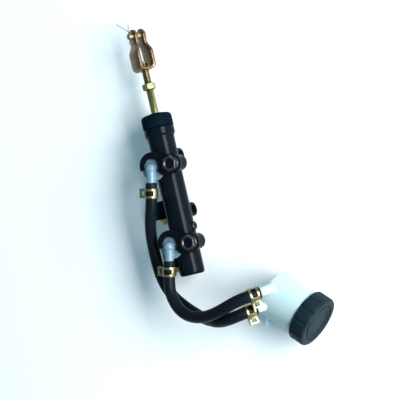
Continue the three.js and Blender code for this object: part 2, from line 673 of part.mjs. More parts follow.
function slipRing() {
  return alongX(band(17, NECK_R - 0.2, NECK_END + 1.9, CAP_FACE - 2.9 - GAP));
}

function outletPlug(station) {
  const [x, z] = OUTLET_AXIS;
  const at = (distance) => [x, -station - distance, z];
  const shank = between(at(-7), at(0.6), 4.1, 12);
  const flange = between(at(GAP), at(1.9), 6.2, 16);
  const grip = between(at(1.5), at(5.4), 4.6, 14, 4.2);
  const hollow = between(at(2.2), at(6), 3.2, 10);
  return cut(joined(shank, flange, grip), hollow);
}

// ---- Assembly -----------------------------------------------------------------------------------

part("cylinder_body", cylinderBody(), BLACK_PAINT);
part("stop_washer", stopWasher(), STEEL);
part("circlip", circlip(), STEEL);
part("primary_piston", primaryPiston(), ALUMINIUM);
part("rear_cup", cupSeal(5.3, -13.1, -9.9), BLACK_RUBBER);
part("primary_cup", cupSeal(4.1, 12.5, 16.4), BLACK_RUBBER);
part("primary_spring_seat", springSeat(17), STEEL);
part("primary_spring", coilSpring(19.4, 56.6, 5.6, 0.7, 6), STEEL);
part("secondary_piston", secondaryPiston(), ALUMINIUM);
part("pressure_cup", cupSeal(5.3, SECONDARY_REAR + 6.1, SECONDARY_REAR + 3.3), BLACK_RUBBER);
part("secondary_cup", cupSeal(4.1, SECONDARY_REAR + 34.3, SECONDARY_REAR + 38.2), BLACK_RUBBER);
part("secondary_spring_seat", springSeat(SECONDARY_REAR + 38.8), STEEL);
part("secondary_spring", coilSpring(SECONDARY_REAR + 41.2, BORE_END - 4.2, 5.6, 0.7, 4), STEEL);
part("stop_screw", stopScrew(), BLACK_ZINC);

part("dust_boot", dustBoot(), BLACK_RUBBER);
part("push_rod", pushRod(), YELLOW_ZINC);
const nut = part("lock_nut", chamferedNut(NUT_FLATS, NUT_HALF * 2, ROD_R + 0.4), YELLOW_ZINC);
nut.position.set(0, -NUT_STATION, AXIS_Z);
nut.rotation.y = THREE.MathUtils.degToRad(NUT_TURN);
const fork = clevisFrame();
part("clevis", clevis(), BRONZE_ZINC, fork);
part("clevis_pin", clevisPin(), YELLOW_ZINC, fork);
part("cotter_pin", cotterPin(), STEEL, fork);

INLET_STATIONS.forEach((station, i) => {
  part(`inlet_grommet_${i + 1}`, inletGrommet(station), BLACK_RUBBER);
  part(`inlet_elbow_${i + 1}`, inletElbow(station), WHITE_PLASTIC);
  part(`retaining_plate_${i + 1}`, retainingPlate(station, BOLT_STATIONS[i]), BLACK_PAINT);
  part(`plate_bolt_${i + 1}`, plateBolt(BOLT_STATIONS[i]), BLACK_ZINC);
});
OUTLET_STATIONS.forEach((station, i) => part(`outlet_plug_${i + 1}`, outletPlug(station), YELLOW_PLASTIC));

part("hose_1", hose(HOSE_1), BLACK_RUBBER);
part("hose_2", hose(HOSE_2), BLACK_RUBBER);
clampOn("hose_clamp_1", HOSE_1, INLET_CLAMP_AT, false);
clampOn("hose_clamp_2", HOSE_2, INLET_CLAMP_AT, false);
clampOn("hose_clamp_3", HOSE_1, RESERVOIR_CLAMP_AT, true);
clampOn("hose_clamp_4", HOSE_2, RESERVOIR_CLAMP_AT, true);

const pot = reservoirFrame();
part("reservoir_body", reservoirBody(), CLEAR_PLASTIC, pot);
part("reservoir_cap", reservoirCap(), BLACK_PLASTIC, pot);
part("diaphragm", diaphragm(), BLACK_RUBBER, pot);
part("slip_ring", slipRing(), WHITE_PLASTIC, pot);

export default root;
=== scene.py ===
"""A tandem brake master cylinder with its push rod, feed hoses and remote reservoir, on a pale floor.

Shapes are worked out in millimetres in the layout of the part's source, where the cylinder's axis
runs along Y at x = 0, and emit() moves each finished piece into the row frame, in metres.
"""

import math

import bmesh
import bpy
from mathutils import Matrix, Vector


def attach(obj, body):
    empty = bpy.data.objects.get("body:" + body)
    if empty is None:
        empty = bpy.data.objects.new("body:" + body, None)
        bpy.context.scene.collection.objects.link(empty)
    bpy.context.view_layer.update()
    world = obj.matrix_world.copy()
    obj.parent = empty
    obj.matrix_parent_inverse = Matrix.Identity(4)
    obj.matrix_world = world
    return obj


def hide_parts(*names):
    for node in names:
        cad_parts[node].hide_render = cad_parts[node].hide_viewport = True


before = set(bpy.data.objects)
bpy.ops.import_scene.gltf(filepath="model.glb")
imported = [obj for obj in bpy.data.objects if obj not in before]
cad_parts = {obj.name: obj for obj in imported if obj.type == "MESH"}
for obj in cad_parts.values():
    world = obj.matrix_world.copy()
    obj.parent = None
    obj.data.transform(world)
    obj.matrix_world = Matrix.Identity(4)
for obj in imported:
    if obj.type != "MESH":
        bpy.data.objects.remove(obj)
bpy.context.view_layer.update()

MM = 0.001
ORIGIN = Vector((54.913, -43.566, 0.0))
TO_ROW = Matrix.Scale(MM, 4) @ Matrix.Translation(-ORIGIN)
STILL = Matrix.Identity(4)

# ---- Camera ----------------------------------------------------------------------------------

CAMERA_AZIMUTH = 83.0  # degrees from -Y towards +X
CAMERA_ELEVATION = 61.0
CAMERA_ROLL = -97.12
CAMERA_DISTANCE = 1200.0
CAMERA_TARGET = Vector((30.0, -50.0, 20.0))
LENS_PER_WIDTH = 3.047  # focal length over the image's width
SHIFT = (-0.0045, -0.02475)


def camera_axes():
    """The camera's right, up and backward directions."""
    azimuth = math.radians(CAMERA_AZIMUTH - 90)
    elevation = math.radians(CAMERA_ELEVATION)
    roll = math.radians(CAMERA_ROLL)
    back = Vector((math.cos(elevation) * math.cos(azimuth), math.cos(elevation) * math.sin(azimuth),
                   math.sin(elevation)))
    level = Vector((0, 0, 1)).cross(back).normalized()
    upright = back.cross(level)
    right = math.cos(roll) * level + math.sin(roll) * upright
    up = -math.sin(roll) * level + math.cos(roll) * upright
    return right, up, back


def make_camera():
    right, up, back = camera_axes()
    data = bpy.data.cameras.new("camera")
    data.sensor_width = 36.0
    data.lens = 36.0 * LENS_PER_WIDTH
    data.shift_x, data.shift_y = SHIFT
    data.clip_end = 20.0
    camera = bpy.data.objects.new("camera", data)
    bpy.context.scene.collection.objects.link(camera)
    turn = Matrix((right, up, back)).transposed().to_4x4()
    camera.matrix_world = Matrix.Translation(TO_ROW @ (CAMERA_TARGET + CAMERA_DISTANCE * back)) @ turn
    bpy.context.scene.camera = camera


make_camera()

# ---- Mesh making -----------------------------------------------------------------------------


def emit(name, bm, place=STILL, body="housing", smooth_angle=35.0):
    """Turns a bmesh in layout millimetres into an object in the row frame that rides on a body."""
    bmesh.ops.transform(bm, matrix=TO_ROW @ place, verts=bm.verts)
    bmesh.ops.recalc_face_normals(bm, faces=bm.faces)
    mesh = bpy.data.meshes.new(name)
    bm.to_mesh(mesh)
    bm.free()
    piece = bpy.data.objects.new(name, mesh)
    bpy.context.scene.collection.objects.link(piece)
    shade(piece, smooth_angle)
    piece["body"] = body
    return piece


def shade(piece, angle):
    """Smooth shading with edges sharper than the angle kept crisp."""
    bm = bmesh.new()
    bm.from_mesh(piece.data)
    limit = math.radians(angle)
    for face in bm.faces:
        face.smooth = True
    for edge in bm.edges:
        edge.smooth = len(edge.link_faces) == 2 and edge.calc_face_angle(math.pi) < limit
    bm.to_mesh(piece.data)
    bm.free()


def bake(piece, smooth_angle=35.0):
    """Applies a piece's modifiers."""
    depsgraph = bpy.context.evaluated_depsgraph_get()
    mesh = bpy.data.meshes.new_from_object(piece.evaluated_get(depsgraph))
    piece.modifiers.clear()
    piece.data = mesh
    shade(piece, smooth_angle)
    return piece


def bevel(piece, width, segments=3, angle=30.0):
    modifier = piece.modifiers.new("bevel", "BEVEL")
    modifier.width = width * MM
    modifier.segments = segments
    modifier.limit_method = "ANGLE"
    modifier.angle_limit = math.radians(angle)
    return bake(piece)


def fuse(piece, voxel, smoothing, smooth_angle=50.0):
    """Joins the overlapping closed shapes of a piece into one skin with small fillets."""
    remesh = piece.modifiers.new("remesh", "REMESH")
    remesh.mode = "VOXEL"
    remesh.voxel_size = voxel * MM
    soften = piece.modifiers.new("smooth", "SMOOTH")
    soften.factor = 0.5
    soften.iterations = smoothing
    return bake(piece, smooth_angle)


def carve(piece, cutters, smooth_angle=35.0):
    """Cuts closed bmeshes, given with their places, out of a piece."""
    tools = []
    for i, (bm, place) in enumerate(cutters):
        tool = emit(f"{piece.name}_cutter_{i}", bm, place)
        modifier = piece.modifiers.new("cut", "BOOLEAN")
        modifier.operation = "DIFFERENCE"
        modifier.solver = "EXACT"
        modifier.object = tool
        tools.append(tool)
    bake(piece, smooth_angle)
    for tool in tools:
        bpy.data.objects.remove(tool)
    return piece


def skin(bm, rows, segments, ring=False):
    """Joins rows of vertices with faces. A row is a full turn of vertices, or the one at a pole."""
    pairs = list(zip(rows, rows[1:]))
    if ring:
        pairs.append((rows[-1], rows[0]))
    for first, second in pairs:
        for i in range(segments):
            j = (i + 1) % segments
            corners = []
            for vert in (first[i % len(first)], first[j % len(first)], second[j % len(second)],
                         second[i % len(second)]):
                if vert not in corners:
                    corners.append(vert)
            if len(corners) > 2:
                bm.faces.new(corners)
    if not ring:
        for row in (rows[0], rows[-1]):
            if len(row) > 1:
                bm.faces.new(row)


def turn_angles(segments):
    return [2 * math.pi * i / segments for i in range(segments)]


def lathe(profile, segments=96, ring=False, bm=None, place=STILL):
    """Turns [radius, height] points about local +Y. A ring's profile closes on itself."""
    bm = bm or bmesh.new()
    rows = []
    for radius, height in profile:
        if radius < 1e-6:
            rows.append([bm.verts.new(place @ Vector((0, height, 0)))])
            continue
        row = []
        for angle in turn_angles(segments):
            point = Vector((radius * math.cos(angle), height, radius * math.sin(angle)))
            row.append(bm.verts.new(place @ point))
        rows.append(row)
    skin(bm, rows, segments, ring)
    return bm


def toward(start, end):
    """The frame whose +Y runs from start to end, with its origin at start."""
    along = (Vector(end) - Vector(start)).normalized()
    turn = Vector((0, 1, 0)).rotation_difference(along).to_matrix().to_4x4()
    return Matrix.Translation(Vector(start)) @ turn


def rod(start, end, radius, end_radius=None, segments=64, bm=None):
    """A closed round bar between two points."""
    length = (Vector(end) - Vector(start)).length
    end_radius = radius if end_radius is None else end_radius
    return lathe([(0, 0), (radius, 0), (end_radius, length), (0, length)], segments, bm=bm,
                 place=toward(start, end))


def prism(outline, low, high, bm=None, place=STILL):
    """A flat outline in X and Y, thickened from low to high along Z."""
    bm = bm or bmesh.new()
    bottom = [bm.verts.new(place @ Vector((x, y, low))) for x, y in outline]
    top = [bm.verts.new(place @ Vector((x, y, high))) for x, y in outline]
    bm.faces.new(bottom[::-1])
    bm.faces.new(top)
    for i in range(len(outline)):
        j = (i + 1) % len(outline)
        bm.faces.new((bottom[i], bottom[j], top[j], top[i]))
    return bm


def block(low, high, bm=None):
    outline = [(low[0], low[1]), (high[0], low[1]), (high[0], high[1]), (low[0], high[1])]
    return prism(outline, low[2], high[2], bm)


def arc(centre, radius, start, end, steps):
    """Points of an arc, in degrees."""
    points = []
    for i in range(steps + 1):
        angle = math.radians(start + (end - start) * i / steps)
        points.append((centre[0] + radius * math.cos(angle), centre[1] + radius * math.sin(angle)))
    return points


def spline(points, step):
    """Centripetal Catmull-Rom points through a list, about a step apart."""
    knots = [Vector(p) for p in points]
    knots = [2 * knots[0] - knots[1]] + knots + [2 * knots[-1] - knots[-2]]
    line = []
    for p0, p1, p2, p3 in zip(knots, knots[1:], knots[2:], knots[3:]):
        t1 = (p1 - p0).length ** 0.5
        t2 = t1 + (p2 - p1).length ** 0.5
        t3 = t2 + (p3 - p2).length ** 0.5
        count = max(2, round((p2 - p1).length / step))
        for i in range(count):
            t = t1 + (t2 - t1) * i / count
            a1 = p0 * (1 - t / t1) + p1 * (t / t1)
            a2 = p1 * ((t2 - t) / (t2 - t1)) + p2 * ((t - t1) / (t2 - t1))
            a3 = p2 * ((t3 - t) / (t3 - t2)) + p3 * ((t - t2) / (t3 - t2))
            b1 = a1 * ((t2 - t) / t2) + a2 * (t / t2)
            b2 = a2 * ((t3 - t) / (t3 - t1)) + a3 * ((t - t1) / (t3 - t1))
            line.append(b1 * ((t2 - t) / (t2 - t1)) + b2 * ((t - t1) / (t2 - t1)))
    line.append(knots[-2].copy())
    return line


def travelled(line):
    """The distance along a line to each of its points."""
    distances = [0.0]
    for a, b in zip(line, line[1:]):
        distances.append(distances[-1] + (b - a).length)
    return distances


def sweep(line, rings, segments):
    """A closed round skin along a line: rings of (index on the line, shift along it, radius)."""
    bm = bmesh.new()
    tangents = []
    for i in range(len(line)):
        tangents.append((line[min(i + 1, len(line) - 1)] - line[max(i - 1, 0)]).normalized())
    side = tangents[0].orthogonal().normalized()
    sides = []
    for tangent in tangents:
        side = (side - tangent * side.dot(tangent)).normalized()
        sides.append(side.copy())
    rows = []
    for index, shift, radius in rings:
        centre = line[index] + tangents[index] * shift
        if radius < 1e-6:
            rows.append([bm.verts.new(centre)])
            continue
        across = tangents[index].cross(sides[index])
        row = []
        for angle in turn_angles(segments):
            offset = sides[index] * (radius * math.cos(angle)) + across * (radius * math.sin(angle))
            row.append(bm.verts.new(centre + offset))
        rows.append(row)
    skin(bm, rows, segments)
    return bm


# ---- Materials -------------------------------------------------------------------------------


class Finish:
    """A procedural material built on one Principled shader."""

    def __init__(self, name, **sockets):
        self.material = bpy.data.materials.new(name)
        self.material.use_nodes = True
        self.nodes = self.material.node_tree.nodes
        self.links = self.material.node_tree.links
        self.shader = self.nodes["Principled BSDF"]
        self.coordinates = self.nodes.new("ShaderNodeTexCoord").outputs["Object"]
        self.height = None
        for socket, value in sockets.items():
            self.shader.inputs[socket.replace("_", " ")].default_value = value

    def noise(self, scale, detail=3.0, stretch=None):
        """A noise over the surface; scale is in features per metre."""
        texture = self.nodes.new("ShaderNodeTexNoise")
        texture.inputs["Scale"].default_value = scale
        texture.inputs["Detail"].default_value = detail
        if stretch:
            mapping = self.nodes.new("ShaderNodeMapping")
            mapping.inputs["Scale"].default_value = stretch
            self.links.new(self.coordinates, mapping.inputs["Vector"])
            self.links.new(mapping.outputs["Vector"], texture.inputs["Vector"])
        else:
            self.links.new(self.coordinates, texture.inputs["Vector"])
        return texture.outputs["Fac"]

    def colours(self, source, stops):
        """Colours along a source value: stops are (position, colour)."""
        ramp = self.nodes.new("ShaderNodeValToRGB")
        while len(ramp.color_ramp.elements) < len(stops):
            ramp.color_ramp.elements.new(0.5)
        for element, (position, colour) in zip(ramp.color_ramp.elements, stops):
            element.position = position
            element.color = (*colour, 1.0)
        self.links.new(source, ramp.inputs["Fac"])
        self.links.new(ramp.outputs["Color"], self.shader.inputs["Base Color"])
        return self

    def roughness(self, source, low, high):
        span = self.nodes.new("ShaderNodeMapRange")
        span.inputs["From Min"].default_value = 0.3
        span.inputs["From Max"].default_value = 0.7
        span.inputs["To Min"].default_value = low
        span.inputs["To Max"].default_value = high
        self.links.new(source, span.inputs["Value"])
        self.links.new(span.outputs["Result"], self.shader.inputs["Roughness"])
        return self

    def bump(self, source, strength, depth):
        """Adds a bump; depth is in metres."""
        node = self.nodes.new("ShaderNodeBump")
        node.inputs["Strength"].default_value = strength
        node.inputs["Distance"].default_value = depth
        self.links.new(source, node.inputs["Height"])
        if self.height:
            self.links.new(self.height, node.inputs["Normal"])
        self.height = node.outputs["Normal"]
        self.links.new(self.height, self.shader.inputs["Normal"])
        return self


def black_paint():
    finish = Finish("black_paint", Specular_IOR_Level=0.055)
    finish.colours(finish.noise(70, 4), [(0.3, (0.0015, 0.0032, 0.0055)), (0.7, (0.0030, 0.0052, 0.0085))])
    finish.roughness(finish.noise(260, 4), 0.13, 0.22)
    finish.bump(finish.noise(420, 2), 0.14, 0.00018)
    return finish.bump(finish.noise(1900, 2), 0.08, 0.00006).material


def plate_paint():
    finish = Finish("plate_paint", Specular_IOR_Level=0.10)
    finish.colours(finish.noise(120, 4), [(0.3, (0.0012, 0.0022, 0.0035)), (0.7, (0.0026, 0.0042, 0.0060))])
    finish.roughness(finish.noise(300, 4), 0.30, 0.46)
    return finish.bump(finish.noise(1500, 3), 0.18, 0.0001).material


def black_zinc():
    finish = Finish("black_zinc", Metallic=0.75)
    finish.colours(finish.noise(240, 4), [(0.3, (0.010, 0.011, 0.014)), (0.7, (0.024, 0.022, 0.026))])
    finish.roughness(finish.noise(700, 4), 0.26, 0.44)
    return finish.bump(finish.noise(2200, 3), 0.15, 0.00006).material


def boot_rubber():
    finish = Finish("boot_rubber", Specular_IOR_Level=0.01)
    finish.colours(finish.noise(110, 5), [(0.3, (0.0012, 0.0045, 0.0085)), (0.7, (0.0020, 0.0070, 0.0120))])
    finish.roughness(finish.noise(500, 4), 0.46, 0.62)
    return finish.bump(finish.noise(1700, 4), 0.25, 0.00012).material


def hose_rubber():
    finish = Finish("hose_rubber", Specular_IOR_Level=0.08)
    finish.colours(finish.noise(60, 5), [(0.3, (0.0022, 0.0040, 0.0062)), (0.7, (0.0040, 0.0066, 0.0095))])
    finish.roughness(finish.noise(400, 5), 0.36, 0.52)
    return finish.bump(finish.noise(1200, 4), 0.22, 0.00012).material


def rod_zinc():
    finish = Finish("rod_zinc", Metallic=1.0)
    finish.colours(finish.noise(130, 3, (1.0, 0.25, 1.0)), [
        (0.25, (0.20, 0.15, 0.05)), (0.5, (0.32, 0.25, 0.10)), (0.75, (0.38, 0.32, 0.16))])
    finish.roughness(finish.noise(900, 4), 0.16, 0.28)
    return finish.bump(finish.noise(2600, 3), 0.08, 0.00005).material


def thread_zinc():
    finish = Finish("thread_zinc", Metallic=1.0)
    finish.colours(finish.noise(300, 4), [
        (0.25, (0.13, 0.11, 0.05)), (0.55, (0.24, 0.19, 0.09)), (0.8, (0.33, 0.27, 0.14))])
    return finish.roughness(finish.noise(900, 4), 0.26, 0.42).material


def clamp_zinc():
    finish = Finish("clamp_zinc", Metallic=1.0)
    finish.colours(finish.noise(220, 3), [
        (0.25, (0.21, 0.175, 0.085)), (0.5, (0.29, 0.25, 0.135)), (0.75, (0.26, 0.225, 0.14))])
    finish.roughness(finish.noise(900, 4), 0.28, 0.42)
    return finish.bump(finish.noise(2400, 3), 0.08, 0.00005).material


def pale_zinc():
    finish = Finish("pale_zinc", Metallic=0.5)
    finish.colours(finish.noise(200, 3), [
        (0.25, (0.145, 0.14, 0.062)), (0.5, (0.18, 0.17, 0.085)), (0.75, (0.195, 0.175, 0.09))])
    return finish.roughness(finish.noise(900, 4), 0.34, 0.48).material


def bolt_zinc():
    finish = Finish("bolt_zinc", Metallic=0.9)
    finish.colours(finish.noise(260, 4), [(0.3, (0.055, 0.046, 0.052)), (0.7, (0.115, 0.092, 0.102))])
    return finish.roughness(finish.noise(700, 4), 0.26, 0.42).material


def wire_steel():
    finish = Finish("wire_steel", Metallic=0.6)
    finish.colours(finish.noise(500, 3), [(0.3, (0.045, 0.050, 0.055)), (0.7, (0.085, 0.090, 0.095))])
    return finish.roughness(finish.noise(900, 4), 0.30, 0.42).material


def bronze_zinc():
    finish = Finish("bronze_zinc", Metallic=1.0)
    finish.colours(finish.noise(90, 3), [
        (0.25, (0.125, 0.070, 0.038)), (0.5, (0.165, 0.100, 0.058)), (0.7, (0.160, 0.108, 0.060)),
        (0.85, (0.180, 0.104, 0.072))])
    finish.roughness(finish.noise(600, 4), 0.24, 0.38)
    return finish.bump(finish.noise(1800, 3), 0.10, 0.00006).material


def bright_steel():
    finish = Finish("bright_steel", Metallic=1.0)
    finish.colours(finish.noise(400, 3), [(0.3, (0.56, 0.58, 0.60)), (0.7, (0.70, 0.71, 0.72))])
    return finish.roughness(finish.noise(900, 4), 0.16, 0.30).material


def turned_aluminium():
    finish = Finish("turned_aluminium", Metallic=1.0)
    finish.colours(finish.noise(200, 3), [(0.3, (0.66, 0.67, 0.68)), (0.7, (0.76, 0.76, 0.77))])
    finish.roughness(finish.noise(900, 4), 0.24, 0.38)
    return finish.bump(finish.noise(500, 2, (0.05, 9.0, 0.05)), 0.2, 0.00005).material


def white_nylon():
    finish = Finish("white_nylon", Subsurface_Weight=0.4, Subsurface_Scale=0.003, IOR=1.5,
                    Transmission_Weight=0.12)
    finish.shader.inputs["Subsurface Radius"].default_value = (1.0, 1.0, 1.0)
    finish.colours(finish.noise(120, 3), [(0.3, (0.135, 0.220, 0.285)), (0.7, (0.175, 0.265, 0.330))])
    finish.roughness(finish.noise(500, 3), 0.28, 0.42)
    return finish.bump(finish.noise(900, 3), 0.10, 0.0001).material


def reservoir_plastic():
    finish = Finish("reservoir_plastic", Subsurface_Weight=0.6, Subsurface_Scale=0.012, IOR=1.49,
                    Transmission_Weight=0.22)
    finish.shader.inputs["Subsurface Radius"].default_value = (0.8, 1.0, 1.0)
    finish.colours(finish.noise(45, 3), [(0.3, (0.47, 0.66, 0.69)), (0.7, (0.54, 0.72, 0.745))])
    finish.roughness(finish.noise(350, 3), 0.34, 0.48)
    return finish.bump(finish.noise(260, 3), 0.12, 0.0003).material


def cap_plastic():
    finish = Finish("cap_plastic", Specular_IOR_Level=0.06)
    finish.colours(finish.noise(200, 4), [(0.3, (0.0045, 0.0120, 0.0165)), (0.7, (0.0070, 0.0165, 0.0215))])
    finish.roughness(finish.noise(600, 4), 0.42, 0.56)
    return finish.bump(finish.noise(2600, 2), 0.35, 0.00012).material


def yellow_plug():
    finish = Finish("yellow_plug", Subsurface_Weight=0.25, Subsurface_Scale=0.003)
    finish.colours(finish.noise(200, 3), [(0.3, (0.78, 0.56, 0.14)), (0.7, (0.86, 0.68, 0.26))])
    finish.roughness(finish.noise(500, 3), 0.40, 0.55)
    return finish.bump(finish.noise(1200, 3), 0.12, 0.0001).material


FINISHES = {make.__name__: make() for make in (
    black_paint, plate_paint, black_zinc, bolt_zinc, boot_rubber, hose_rubber, rod_zinc,
    thread_zinc, clamp_zinc, pale_zinc, wire_steel, bronze_zinc, bright_steel, turned_aluminium,
    white_nylon, reservoir_plastic, cap_plastic, yellow_plug)}


def finished(piece, finish, slot, *nodes):
    """Gives a piece its material and body, and hides the CAD nodes it stands for. The slot argument is not
    used.
    """
    piece.data.materials.clear()
    piece.data.materials.append(FINISHES[finish])
    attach(piece, piece["body"])
    if nodes:
        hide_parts(*nodes)
    return piece


# ---- Hoses -----------------------------------------------------------------------------------

HOSE_R = 5.75
HOSE_BORE_R = 3.9
HOSE_END_DEPTH = 13.0  # how deep the bore is cut at each end
HOSE_STEP = 1.6
HOSE_1 = [
    (-11.63, -31.78, 42), (-13.32, -38.56, 42), (-15, -45.3, 41.9), (-18, -53.6, 41.2),
    (-21.8, -61.2, 39.4), (-26, -69, 36.6), (-29.6, -76.6, 33.6), (-32.4, -84.5, 30.7),
    (-34.2, -92.7, 28.5), (-35.3, -101.2, 27), (-35.7, -109.9, 26), (-35.5, -118.4, 25.4),
    (-34.3, -126.6, 25.2), (-31.8, -134.4, 25.5), (-28, -141.6, 26.2), (-23, -148.2, 27.4),
    (-17, -154, 29.2), (-10.6, -159.2, 31.4), (-4.2, -163.6, 33.8), (2.5, -167.8, 36.6),
    (9.5, -171.6, 39.8), (16.83, -174.43, 43.51), (23.99, -176.28, 47.43), (30.99, -177.66, 51.36),
    (38.82, -178.07, 54.79), (47.24, -177.48, 57.73), (55.64, -176.25, 58.6), (63.6, -174.8, 55.75),
    (68.55, -174.05, 51.91), (73.65, -173.3, 47.95),
]
HOSE_2 = [
    (-11.63, -110.78, 42), (-13.32, -117.56, 42), (-15.2, -124.4, 42.1), (-16.6, -130.6, 42.5),
    (-17.3, -137.3, 43.2), (-16.4, -144.4, 44.4), (-13.7, -151.4, 46), (-9.5, -157.9, 48),
    (-3.8, -163.1, 50.2), (2.8, -166.7, 52.6), (10, -168.9, 55.1), (17.5, -170, 57.7),
    (25.1, -170.3, 60.3), (32.65, -169.62, 62.46), (40.14, -168.36, 64.07), (47.78, -166.53, 64.95),
    (55.06, -164.41, 64.88), (61.65, -162.6, 64.01), (67.65, -161.25, 62.4), (73.27, -160.38, 59.8),
    (78.2, -159.68, 56.12), (83.3, -158.92, 52.16),
]


def hose(number, points):
    """A hose with an open bore and rounded rims at both ends: the piece, its line and its length."""
    line = spline(points, HOSE_STEP)
    far = travelled(line)
    last = len(line) - 1
    deep_start = next(i for i, d in enumerate(far) if d > HOSE_END_DEPTH)
    deep_end = next(i for i, d in enumerate(far) if d > far[-1] - HOSE_END_DEPTH)
    rings = [(deep_start, 0, 0)]
    rings += [(i, 0, HOSE_BORE_R) for i in range(deep_start, -1, -1)]
    rings += [(0, 0, HOSE_R - 0.45), (0, 0.15, HOSE_R - 0.15)]
    rings += [(i, 0.45 if i == 0 else 0, HOSE_R) for i in range(0, last)]
    rings += [(last, -0.45, HOSE_R), (last, -0.15, HOSE_R - 0.15), (last, 0, HOSE_R - 0.45)]
    rings += [(i, 0, HOSE_BORE_R) for i in range(last, deep_end - 1, -1)]
    rings += [(deep_end, 0, 0)]
    piece = emit(f"feed_hose_{number}", sweep(line, rings, 44))
    finished(piece, "hose_rubber", "black_rubber", f"hose_{number}")
    return piece, line, far[-1]


def clamp_place(points, distance, ears_back):
    """A clamp's frame on a straight hose end: +Y along the hose, +Z up, the ears towards -X."""
    along = (Vector(points[1]) - Vector(points[0])).normalized()
    centre = Vector(points[0]) + along * distance
    if ears_back:
        along = -along
    up = (Vector((0, 0, 1)) - along * along.z).normalized()
    turn = Matrix((along.cross(up), along, up)).transposed().to_4x4()
    return Matrix.Translation(centre) @ turn


CLAMP_R = HOSE_R + 0.25
CLAMP_THICK = 0.85
CLAMP_HALF = 4.75
CLAMP_EAR = 6.0
CLAMP_WINDOW_HALF = 2.4
CLAMP_EAR_HOLE_HALF = 2.3
INLET_CLAMP_AT = 10.2
RESERVOIR_CLAMP_AT = 6.8


def spring_clamp(number, place):
    """A sprung band with a window in it, and two ears with a hole each."""
    slit = 8.0
    outer = CLAMP_R + CLAMP_THICK
    reach = outer + CLAMP_EAR
    outline = arc((0, 0), outer, -180 + slit, 180 - slit, 60)
    outline += [(-outer - 1.0, 1.3), (-reach, 1.5), (-reach, 0.65), (-outer - 1.0, 0.45)]
    outline += arc((0, 0), CLAMP_R, 180 - slit * 0.4, -180 + slit * 0.4, 60)
    outline += [(-outer - 1.0, -0.45), (-reach, -0.65), (-reach, -1.5), (-outer - 1.0, -1.3)]
    upright = Matrix.Rotation(math.radians(90), 4, "X")
    piece = emit(f"band_clamp_{number}", prism(outline, -CLAMP_HALF, CLAMP_HALF, place=upright), place)
    window = block((-3.2, -CLAMP_WINDOW_HALF, 1.5), (5.2, CLAMP_WINDOW_HALF, outer + 3))
    ear_hole = block((-reach + 1.5, -CLAMP_EAR_HOLE_HALF, -4), (-outer - 1.3, CLAMP_EAR_HOLE_HALF, 4))
    carve(piece, [(window, place), (ear_hole, place)])
    bevel(piece, 0.2, 2)
    return finished(piece, "clamp_zinc", "yellow_zinc", f"hose_clamp_{number}")


clamps = {
    1: spring_clamp(1, clamp_place(HOSE_1, INLET_CLAMP_AT, True)),
    2: spring_clamp(2, clamp_place(HOSE_2, INLET_CLAMP_AT, True)),
    3: spring_clamp(3, clamp_place(HOSE_1[::-1], RESERVOIR_CLAMP_AT, False)),
    4: spring_clamp(4, clamp_place(HOSE_2[::-1], RESERVOIR_CLAMP_AT, False)),
}
for number, points, own in ((1, HOSE_1, (1, 3)), (2, HOSE_2, (2, 4))):
    piece, line, length = hose(number, points)

# ---- Cylinder casting ------------------------------------------------------------------------

AXIS_Z = 23.0
AXIS = Matrix.Translation((0, 0, AXIS_Z)) @ Matrix.Rotation(math.pi, 4, "Z")  # +Y towards the closed end
INLET_X = -8.2
INLETS = (18.0, 97.0)
BOLT_X = 15.8
BOLTS = (18.4, 97.5)
BOLT_BOSS_Z = 24.4
INLET_TOP = 35.5
FLANGE_TOP = 38.3
PLATE_LOW = 38.6
PLATE_TOP = 41.1
LUGS = (9.0, 65.0)
LUG_Z = 7.0
LUG_R = 7.0
LUG_HALF = 9.0
LUG_HOLE_R = 4.25
BORE_R = 7.95
OUTLETS = (68.0, 118.0)
OUTLET_AXIS = (-21.0, 15.0)
STOP_STATION = 82.0
STOP_FACE_X = 13.9


def casting():
    """The cast body, fused from turned and flat shapes, with its bore and cross holes cut after."""
    bm = lathe([
        (0, -25), (10.9, -25), (11.5, -24.4), (11.5, -21), (14.7, -21), (15.3, -20.4), (15.3, -13.7),
        (15.0, -13.2), (14.0, -12.2), (13.6, -10.5), (13.4, -6), (13.2, 10), (13.1, 40), (12.9, 90),
        (12.6, 125.6), (12.2, 127.6), (11.2, 128.7), (9.8, 129), (0, 129)], 128, place=AXIS)
    for station in LUGS:
        outline = [(LUG_R, 16), (-LUG_R, 16)] + arc((0, 0), LUG_R, 180, 360, 40)
        crosswise = Matrix(((0, 0, 1, 0), (1, 0, 0, 0), (0, 1, 0, 0), (0, 0, 0, 1)))
        prism(outline, -LUG_HALF, LUG_HALF, bm, Matrix.Translation((0, -station, LUG_Z)) @ crosswise)
    for station in OUTLETS:
        block((-29, -station, 7), (-9, -station + 18, 23), bm)
    for station in INLETS:
        rod((INLET_X, -station, AXIS_Z), (INLET_X, -station, INLET_TOP), 9.8, 9.4, bm=bm)
    for station in BOLTS:
        rod((BOLT_X, -station, BOLT_BOSS_Z), (BOLT_X, -station, FLANGE_TOP), 8.0, 7.9, 72, bm=bm)
    rod((0, -STOP_STATION, AXIS_Z), (STOP_FACE_X, -STOP_STATION, AXIS_Z), 5.8, 5.0, bm=bm)
    piece = emit("cylinder_casting", bm)
    fuse(piece, 0.45, 3)
    cutters = [(lathe([
        (0, -27), (9.2, -27), (9.2, -23.3), (10.2, -23.3), (10.2, -21.4), (9.2, -21.4), (9.2, -19.5),
        (BORE_R, -19.5), (BORE_R, 115), (0, 118)], 64, place=AXIS), STILL)]
    for station in LUGS:
        cutters.append((rod((-12, -station, LUG_Z), (12, -station, LUG_Z), LUG_HOLE_R), STILL))
    for station in INLETS:
        cutters.append((rod((INLET_X, -station, INLET_TOP), (INLET_X, -station, 46), 13.1), STILL))
    carve(piece, cutters, 40)
    return finished(piece, "black_paint", "black_paint", "cylinder_body")


